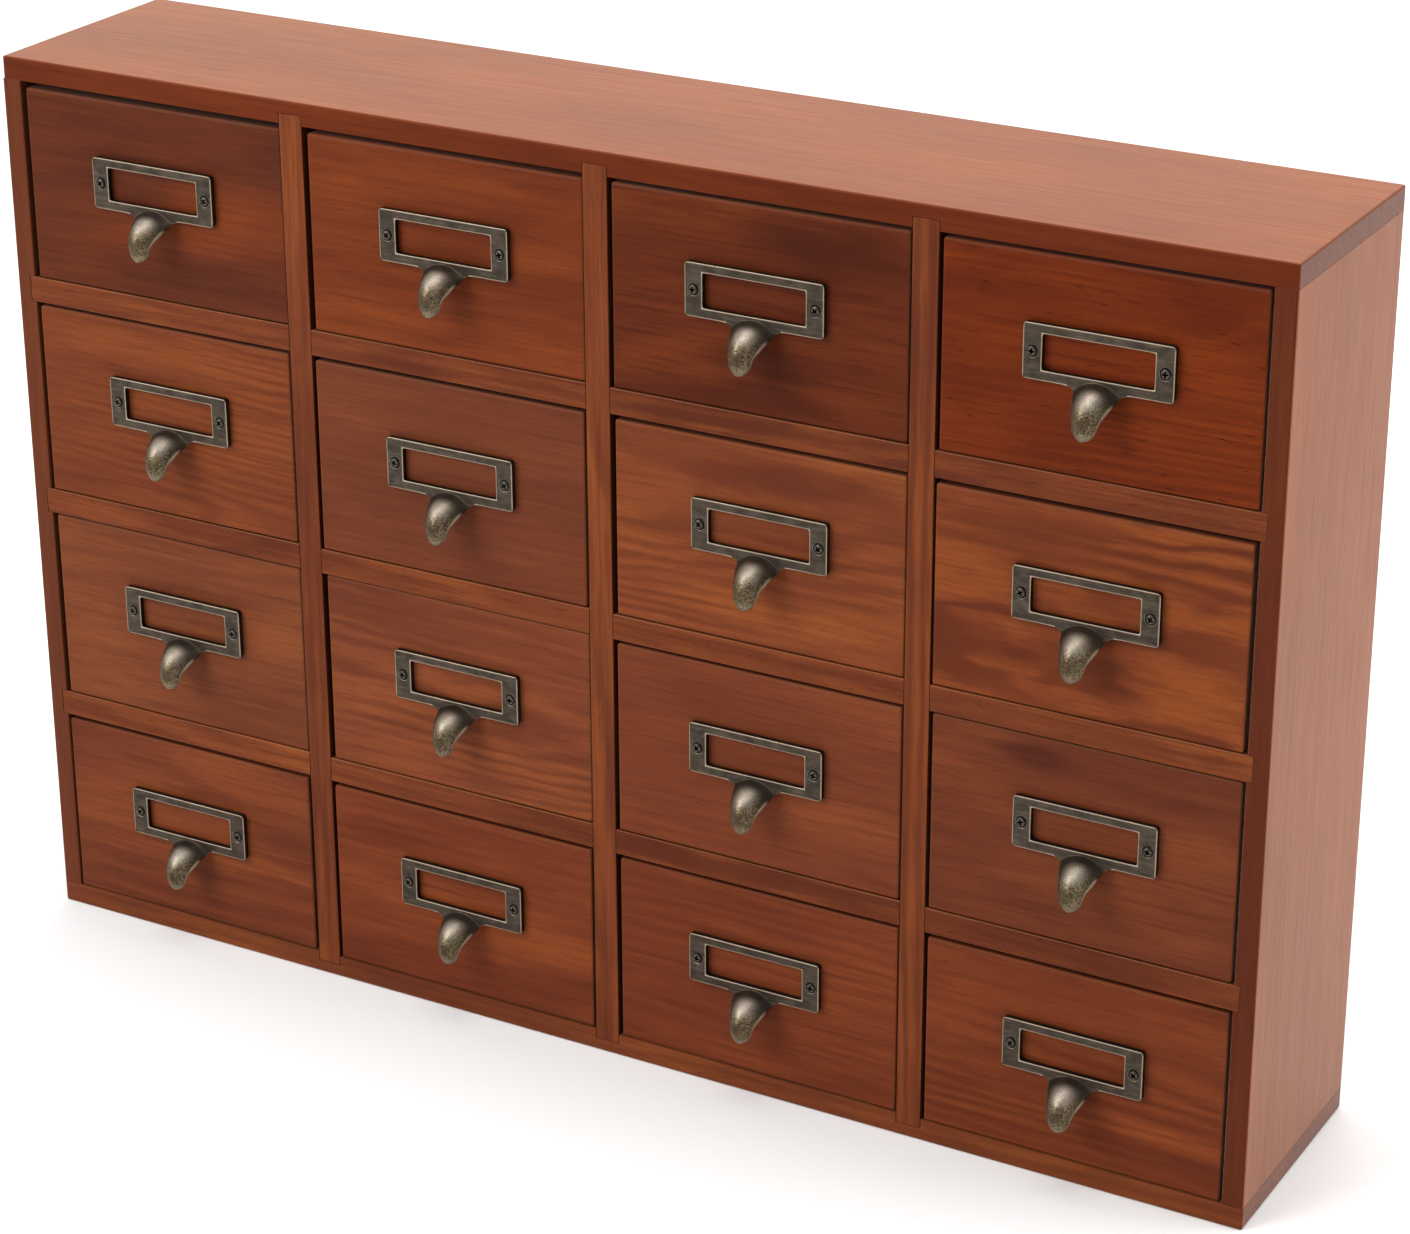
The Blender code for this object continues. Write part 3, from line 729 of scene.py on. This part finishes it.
def make_pull_mesh():
    shape = pull_cage()
    mesh = bpy.data.meshes.new("pull")
    shape.to_mesh(mesh)
    shape.free()
    thing = new_object("pull_cage", mesh)
    smooth = thing.modifiers.new("subdivision", "SUBSURF")
    smooth.levels = SUBDIVISIONS
    smooth.render_levels = SUBDIVISIONS
    mesh = applied(thing)
    mesh.shade_smooth()
    along = mesh.attributes["along"].data
    across = mesh.attributes["across"].data
    values = [wear_and_shade_at(v, along[v.index].value, across[v.index].value) for v in mesh.vertices]
    wear_and_shade = mesh.attributes.new("wear_and_shade", "FLOAT", "POINT")
    wear_and_shade.data.foreach_set("value", values)
    mesh.attributes.remove(mesh.attributes["inside"])
    return mesh


def wear_and_shade_at(vertex, along, across):
    """1 where the casting's edges are rubbed bright, 0 on plain film, below 0 where shade is
    painted into its screw recesses and onto its walls.
    """
    place = vertex.co
    recess = sqrt((abs(place.x) - SCREW_X) ** 2 + place.z ** 2)
    # The screw recesses get painted shade
    if recess < RECESS_RADIUS + 0.1 * MM and place.y > -PLATE_FACE + 0.2 * MM:
        return -1.0
    if along > RUB_START:
        rim = min(1, max(0, (abs(across) - 0.92) / 0.07))
        return 0.8 * rim * min(1, (along - RUB_START) / 0.15)
    outward = -vertex.normal.y
    # The walls of the plate and of its window get painted shade
    if outward < 0.3 and place.y > -PLATE_FACE + BEVEL_DEPTH:
        return -0.6
    in_root = place.z < WINDOW_BOTTOM - 1 * MM and abs(place.x) < TONGUE_ROOT_HALF_WIDTH + 0.5 * MM
    if place.y < -PLATE_FACE - 0.05 * MM or (in_root and outward > 0.1):
        return 0.0
    # The rounded edges lean about halfway between the face's direction and the walls'
    rounded = 1 - min(1, abs(outward - 0.62) / 0.36) ** 2
    if outward > 0.5:
        beside_edge = min(PLATE_HALF_WIDTH - abs(place.x), PLATE_HALF_HEIGHT - place.z)
        if abs(place.x) > APRON_OUTER:
            beside_edge = min(beside_edge, PLATE_HALF_HEIGHT + place.z)
        beside_window = max(
            abs(place.x) - WINDOW_HALF_WIDTH, place.z - WINDOW_TOP, WINDOW_BOTTOM - place.z)
        nearest = min(beside_edge, beside_window)
        rounded = max(rounded, 0.8 * (1 - nearest / RUBBED_WIDTH))
    return rounded


# ---------------------------------------------------------------- screws

def turned(profile, sides):
    """A closed mesh from (radius, y) pairs turned about the y axis, from one pole to the other."""
    shape = bmesh.new()
    rings = []
    for radius, y in profile:
        if radius == 0:
            rings.append([shape.verts.new((0, y, 0))])
        else:
            angles = [FULL_TURN * k / sides for k in range(sides)]
            rings.append([shape.verts.new((radius * cos(a), y, radius * sin(a))) for a in angles])
    for low, high in zip(rings, rings[1:]):
        for k in range(sides):
            n = (k + 1) % sides
            corners = (low[k % len(low)], low[n % len(low)],
                       high[n % len(high)], high[k % len(high)])
            shape.faces.new(list(dict.fromkeys(corners)))
    bmesh.ops.recalc_face_normals(shape, faces=shape.faces)
    return shape


def make_screw_mesh():
    """A raised countersunk wood screw with a cross recess, its axis along y, head towards -y."""
    seat = -PLATE_FACE - SEAT_RISE
    profile = [(radius, seat + y) for radius, y in HEAD_PROFILE] + [(SHANK_RADIUS, 0)]
    y = THREAD_START
    while y < THREAD_END:
        profile += [(THREAD_CORE, y), (THREAD_CREST, y + THREAD_PITCH / 2)]
        y += THREAD_PITCH
    profile += [(POINT_RADIUS, y + THREAD_PITCH / 2), (0, y + POINT_LENGTH)]
    shape = turned(profile, SCREW_SIDES)
    mesh = bpy.data.meshes.new("screw")
    shape.to_mesh(mesh)
    shape.free()
    screw = new_object("screw_blank", mesh)
    cutter = new_object("cross_cutter", cross_cutter(seat))
    cut = screw.modifiers.new("cross recess", "BOOLEAN")
    cut.operation = "DIFFERENCE"
    cut.solver = "EXACT"
    cut.object = cutter
    mesh = applied(screw)
    bpy.data.objects.remove(cutter)
    mesh.shade_smooth()
    mesh.set_sharp_from_angle(angle=radians(35))
    return mesh


def cross_cutter(seat):
    """A tapering cross that cuts the driver's recess into a screw's head."""
    shape = bmesh.new()
    outlines = []
    for reach, half, y in zip(CROSS_REACH, CROSS_HALF_WIDTH, CROSS_Y):
        corners = []
        for quarter in range(4):
            turn = Matrix.Rotation(-quarter * pi / 2, 3, "Y")
            for x, z in ((half, half), (half, reach), (-half, reach)):
                corners.append(shape.verts.new(turn @ Vector((x, seat + y, z))))
        outlines.append(corners)
    order = len(outlines[0])
    for k in range(order):
        n = (k + 1) % order
        shape.faces.new((outlines[0][k], outlines[0][n], outlines[1][n], outlines[1][k]))
    for corners in outlines:
        shape.faces.new(corners)
    bmesh.ops.recalc_face_normals(shape, faces=shape.faces)
    mesh = bpy.data.meshes.new("cross")
    shape.to_mesh(mesh)
    shape.free()
    return mesh


STEEL_DARK = (0.045, 0.038, 0.030, 1)
STEEL_WORN = (0.16, 0.132, 0.102, 1)
SCREW_RECESS_SHADE = (0.008, 0.007, 0.006, 1)


def screw_metal(name):
    """Blackened steel, lighter on the worn dome, with painted shade in the cross and around the
    rim.
    """
    nodes = Nodes(name)
    source = nodes.add("ShaderNodeTexCoord").outputs["Object"]
    grit = nodes.noise(source, 2200, 3.0, 0.6)
    shade = nodes.mix(nodes.remap(grit, 0.38, 0.66), STEEL_DARK, STEEL_WORN)
    # Painted shade, near black, in the cross and around the head's rim, deeper than the dome
    depth = nodes.add("ShaderNodeSeparateXYZ", Vector=source).outputs["Y"]
    deep = nodes.remap(depth, -PLATE_FACE - 0.50 * MM, -PLATE_FACE - 0.12 * MM)
    shade = nodes.mix(deep, shade, SCREW_RECESS_SHADE)
    nodes.set(Base_Color=shade, Roughness=nodes.remap(grit, 0.3, 0.7, 0.5, 0.38), Metallic=0.85)
    return nodes.material


# ---------------------------------------------------------------- drawer boxes

def extruded_board(name, profile, axis, start, stop, eased):
    """A board run along x or y, with its outer edges eased, from its end's (across, up) outline."""
    shape = bmesh.new()
    ends = []
    for along in (start, stop):
        places = [(across, along, up) if axis == "y" else (along, across, up)
                  for across, up in profile]
        ends.append([shape.verts.new(place) for place in places])
    for k in range(len(profile)):
        n = (k + 1) % len(profile)
        shape.faces.new((ends[0][k], ends[0][n], ends[1][n], ends[1][k]))
    for corners in ends:
        shape.faces.new(corners)
    bmesh.ops.recalc_face_normals(shape, faces=shape.faces)
    outer = [edge for edge in shape.edges if edge.calc_face_angle_signed() > CONVEX_ANGLE]
    bmesh.ops.bevel(shape, geom=outer, offset=eased, segments=2, profile=0.5, affect="EDGES")
    mesh = bpy.data.meshes.new(name)
    shape.to_mesh(mesh)
    shape.free()
    return new_object(name, mesh)


def make_box(name, seed):
    """The drawer's box: two rebated sides, a back between them and a thin bottom in the rebates."""
    low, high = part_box(f"{name}_box")
    rebate = BOX_WALL / 2
    along = bare_wood(f"{name}_side_pine", BOX_SIDE_SEED + seed, f"{name}_box", "y")
    cross = bare_wood(f"{name}_back_pine", BOX_BACK_SEED + seed, f"{name}_box", "x")
    floor_top = low.z + BOX_BOTTOM
    boards = []
    for side, outer, inward in (("left", low.x, 1), ("right", high.x, -1)):
        inner = outer + inward * BOX_WALL
        step = inner - inward * rebate
        profile = ((outer, low.z), (step, low.z), (step, floor_top), (inner, floor_top),
                   (inner, high.z), (outer, high.z))
        wall = extruded_board(f"{name}_{side}_wall", profile, "y", low.y, high.y, BOX_EASED)
        boards.append((wall, along))
    back_y = high.y - BOX_WALL
    back = ((back_y, floor_top), (high.y, floor_top), (high.y, high.z), (back_y, high.z))
    inside = (low.x + BOX_WALL, high.x - BOX_WALL)
    wall = extruded_board(f"{name}_back_wall", back, "x", *inside, BOX_EASED)
    boards.append((wall, cross))
    panel = ((low.y, low.z), (high.y, low.z), (high.y, floor_top), (low.y, floor_top))
    under = (low.x + rebate, high.x - rebate)
    bottom = extruded_board(f"{name}_bottom_panel", panel, "x", *under, BOX_EASED / 2)
    boards.append((bottom, cross))
    for board, wood in boards:
        board.data.materials.append(wood)
        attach(board, name)
        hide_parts(f"{name}_box")


# ---------------------------------------------------------------- drawers

# Each front's stain, by row and column: stained_wood's tone and how strong its figure is, and
# painted_bands' bands
FRONTS = {
    (0, 0): dict(
        tone=(0.094, 0.0212, 0.0075), cloud=0.36, stripes=0.10, light=(1.85, 1.62, 1.00),
        bands=((50, 2, 52, 14, 0.05, 0.70), (40, -13, 60, 8, 0.03, 0.35),
               (10, -33, 90, 11, -0.02, -0.30))),
    (0, 1): dict(
        tone=(0.143, 0.0285, 0.0070), cloud=0.40, stripes=0.12,
        bands=((48, 2, 34, 9, 0.05, 0.40), (-34, -30, 50, 9, 0.02, 0.35),
               (12, 32, 60, 6, 0.02, 0.25))),
    (0, 2): dict(
        tone=(0.095, 0.018, 0.0050), cloud=0.60, stripes=0.10, hairs=0.5, dashes=0.6,
        bands=((28, 31, 55, 17, 0.02, -0.80), (-45, -24, 42, 17, 0.05, 0.55),
               (8, -22, 40, 9, 0, -0.55), (52, -33, 36, 9, 0, 0.35))),
    (0, 3): dict(
        tone=(0.142, 0.022, 0.0033), cloud=0.55, stripes=0.22, pitch=4.0, hairs=0.5, dashes=0.7,
        bands=((-50, 31, 40, 12, 0.03, -0.55), (-14, -27, 30, 13, 0, -0.40),
               (48, 8, 34, 14, 0, 0.20))),
    (1, 0): dict(
        tone=(0.154, 0.0365, 0.0110), cloud=0.35, stripes=0.24, pitch=3.2, hairs=0.45,
        bands=((0, 34, 100, 10, 0.01, 0.40), (-30, -30, 70, 12, 0, -0.20))),
    (1, 1): dict(
        tone=(0.141, 0.036, 0.0135), cloud=0.30, stripes=0.06,
        bands=((20, 34, 80, 8, 0.02, -0.15),)),
    (1, 2): dict(
        tone=(0.175, 0.043, 0.0135), cloud=0.50, stripes=0.33, pitch=5.5, curl=1.5,
        bands=((10, 32, 80, 10, 0.06, -0.65), (0, -30, 100, 13, -0.02, 0.50),
               (-52, 4, 24, 18, 0, -0.25))),
    (1, 3): dict(
        tone=(0.170, 0.0395, 0.0115), cloud=0.50, stripes=0.62, pitch=6.5, curl=2.2,
        bands=((-20, 33, 60, 8, 0, -0.40), (52, -20, 30, 20, 0, 0.35), (-30, -34, 60, 7, 0, 0.25))),
    (2, 0): dict(
        tone=(0.155, 0.041, 0.0140), cloud=0.40, stripes=0.12,
        bands=((56, 4, 34, 15, 0.05, 0.45), (-50, 0, 30, 28, 0, 0.15))),
    (2, 1): dict(
        tone=(0.163, 0.041, 0.0150), cloud=0.45, stripes=0.34, pitch=4.6, curl=1.4,
        bands=((30, -26, 80, 12, 0.03, 0.40), (-20, 30, 80, 10, 0, -0.20))),
    (2, 2): dict(
        tone=(0.150, 0.036, 0.0130), cloud=0.35, stripes=0.14, pitch=4.5,
        bands=((30, -18, 60, 14, 0, 0.22),)),
    (2, 3): dict(
        tone=(0.126, 0.030, 0.0115), cloud=0.50, stripes=0.12,
        bands=((-22, 37, 24, 8, 0, -0.80), (52, 6, 36, 15, 0.10, 0.55),
               (-30, -26, 60, 12, 0, -0.15))),
    (3, 0): dict(
        tone=(0.140, 0.0325, 0.0115), cloud=0.50, stripes=0.25, pitch=5.5,
        bands=((52, 16, 34, 11, -0.12, -0.70), (40, -8, 60, 10, -0.05, 0.60),
               (-40, -34, 60, 9, 0, -0.20))),
    (3, 1): dict(
        tone=(0.155, 0.034, 0.0108), cloud=0.50, stripes=0.35, pitch=5.0, curl=1.3,
        bands=((-40, 28, 46, 8, 0.02, -0.45), (30, -10, 70, 9, 0, 0.45),
               (0, -32, 80, 8, 0, -0.30))),
    (3, 2): dict(
        tone=(0.140, 0.030, 0.0102), cloud=0.40, stripes=0.18, pitch=5.0,
        bands=((0, 34, 90, 8, 0, -0.15),)),
    (3, 3): dict(
        tone=(0.152, 0.033, 0.0100), cloud=0.45, stripes=0.28, pitch=5.5, curl=1.4,
        bands=((48, -19, 46, 8, -0.06, 0.60), (40, -32, 60, 7, 0, -0.40),
               (-10, 32, 80, 8, 0, -0.15))),
}


def dress_drawer(row, column, pull_mesh, screw_mesh):
    """Stains a drawer's front, and gives the drawer its box, its pull and the pull's two screws."""
    name = f"drawer_r{row + 1}c{column + 1}"
    seed = row * COLUMNS + column
    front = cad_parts[f"{name}_front"]
    # The front's rounded edges get a painted highlight, partly rubbed stain
    front.material_slots[0].material = stained_wood(
        f"{name}_stain", FRONT_SEED + seed, f"{name}_front", arris=0.22, haze=0.25,
        **FRONTS[row, column])
    make_box(name, seed)
    low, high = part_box(f"{name}_pull")
    place = Vector(((low.x + high.x) / 2, high.y + GLUE_GAP, high.z - PLATE_HALF_HEIGHT))
    pull = new_object(f"{name}_label_pull", pull_mesh.copy())
    pull.location = place
    pull.data.materials.append(bronze(f"{name}_bronze", BRONZE_SEED + seed))
    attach(pull, name)
    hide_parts(f"{name}_pull")
    draw = random.Random(SCREW_SEED + seed)
    for side, x in (("left", -SCREW_X), ("right", SCREW_X)):
        screw = new_object(f"{name}_{side}_screw", screw_mesh)
        screw.location = place + Vector((x, 0, 0))
        screw.rotation_euler.y = draw.uniform(0, pi / 2)
        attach(screw, name)


def dress_drawers():
    pull_mesh = make_pull_mesh()
    screw_mesh = make_screw_mesh()
    screw_mesh.materials.append(screw_metal("screw_metal"))
    for row in range(ROWS):
        for column in range(COLUMNS):
            dress_drawer(row, column, pull_mesh, screw_mesh)


# ---------------------------------------------------------------- carcass

EDGE_TONE = (0.152, 0.037, 0.0115)
FACE_TONE = (0.250, 0.058, 0.0130)
TOP_EDGE = (0.46, 0.34, 0.30)
TOP_END = (0.44, 0.22, 0.02)
BOTTOM_END = (0.85, 0.45, 0.12)
SIDES = (("left_side", 1, (0.46, 0.48, 0.70)), ("right_side", -1, (0.40, 0.36, 0.52)))


def stain(node, seed, grain, **looks):
    """Gives a CAD board its own stained wood."""
    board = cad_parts[node]
    board.material_slots[0].material = stained_wood(f"{node}_stain", seed, node, grain, **looks)


def dress_carcass():
    # The top board's rounded edges get painted shade
    stain("top_board", 1, "x", tone=FACE_TONE, edge=TOP_EDGE, end=TOP_END, cloud=0.22,
          stripes=0.10, hairs=0.35, dashes=0.15, relief=0.5, arris=-0.5)
    stain("bottom_board", 2, "x", tone=EDGE_TONE, end=BOTTOM_END, cloud=0.5, stripes=0.2)
    # inner gives the side panels' faces towards the drawers painted shade
    for index, (side, inward, edge) in enumerate(SIDES):
        stain(side, 3 + index, "z", tone=FACE_TONE, edge=edge, inner=(inward,), cloud=0.18,
              stripes=0.08, hairs=0.30, dashes=0.1, relief=0.45)
    for index in range(3):
        # Both faces of each divider get painted shade towards the drawers
        stain(f"divider_{index + 1}", 5 + index, "z", tone=EDGE_TONE, inner=(-1, 1), cloud=0.65,
              stripes=0.4, hairs=0.4, haze=0.1)
        # The shelves' rounded edges get a painted highlight, partly rubbed stain
        stain(f"shelf_{index + 1}", 8 + index, "x", tone=EDGE_TONE, cloud=0.85, stripes=0.3,
              hairs=0.4, dashes=0.5, arris=0.5, haze=0.1)
    stain("back_panel", 11, "x", tone=EDGE_TONE, cloud=0.5, stripes=0.3, pitch=9.0)


make_camera()
make_floor()
make_lighting()
dress_carcass()
dress_drawers()
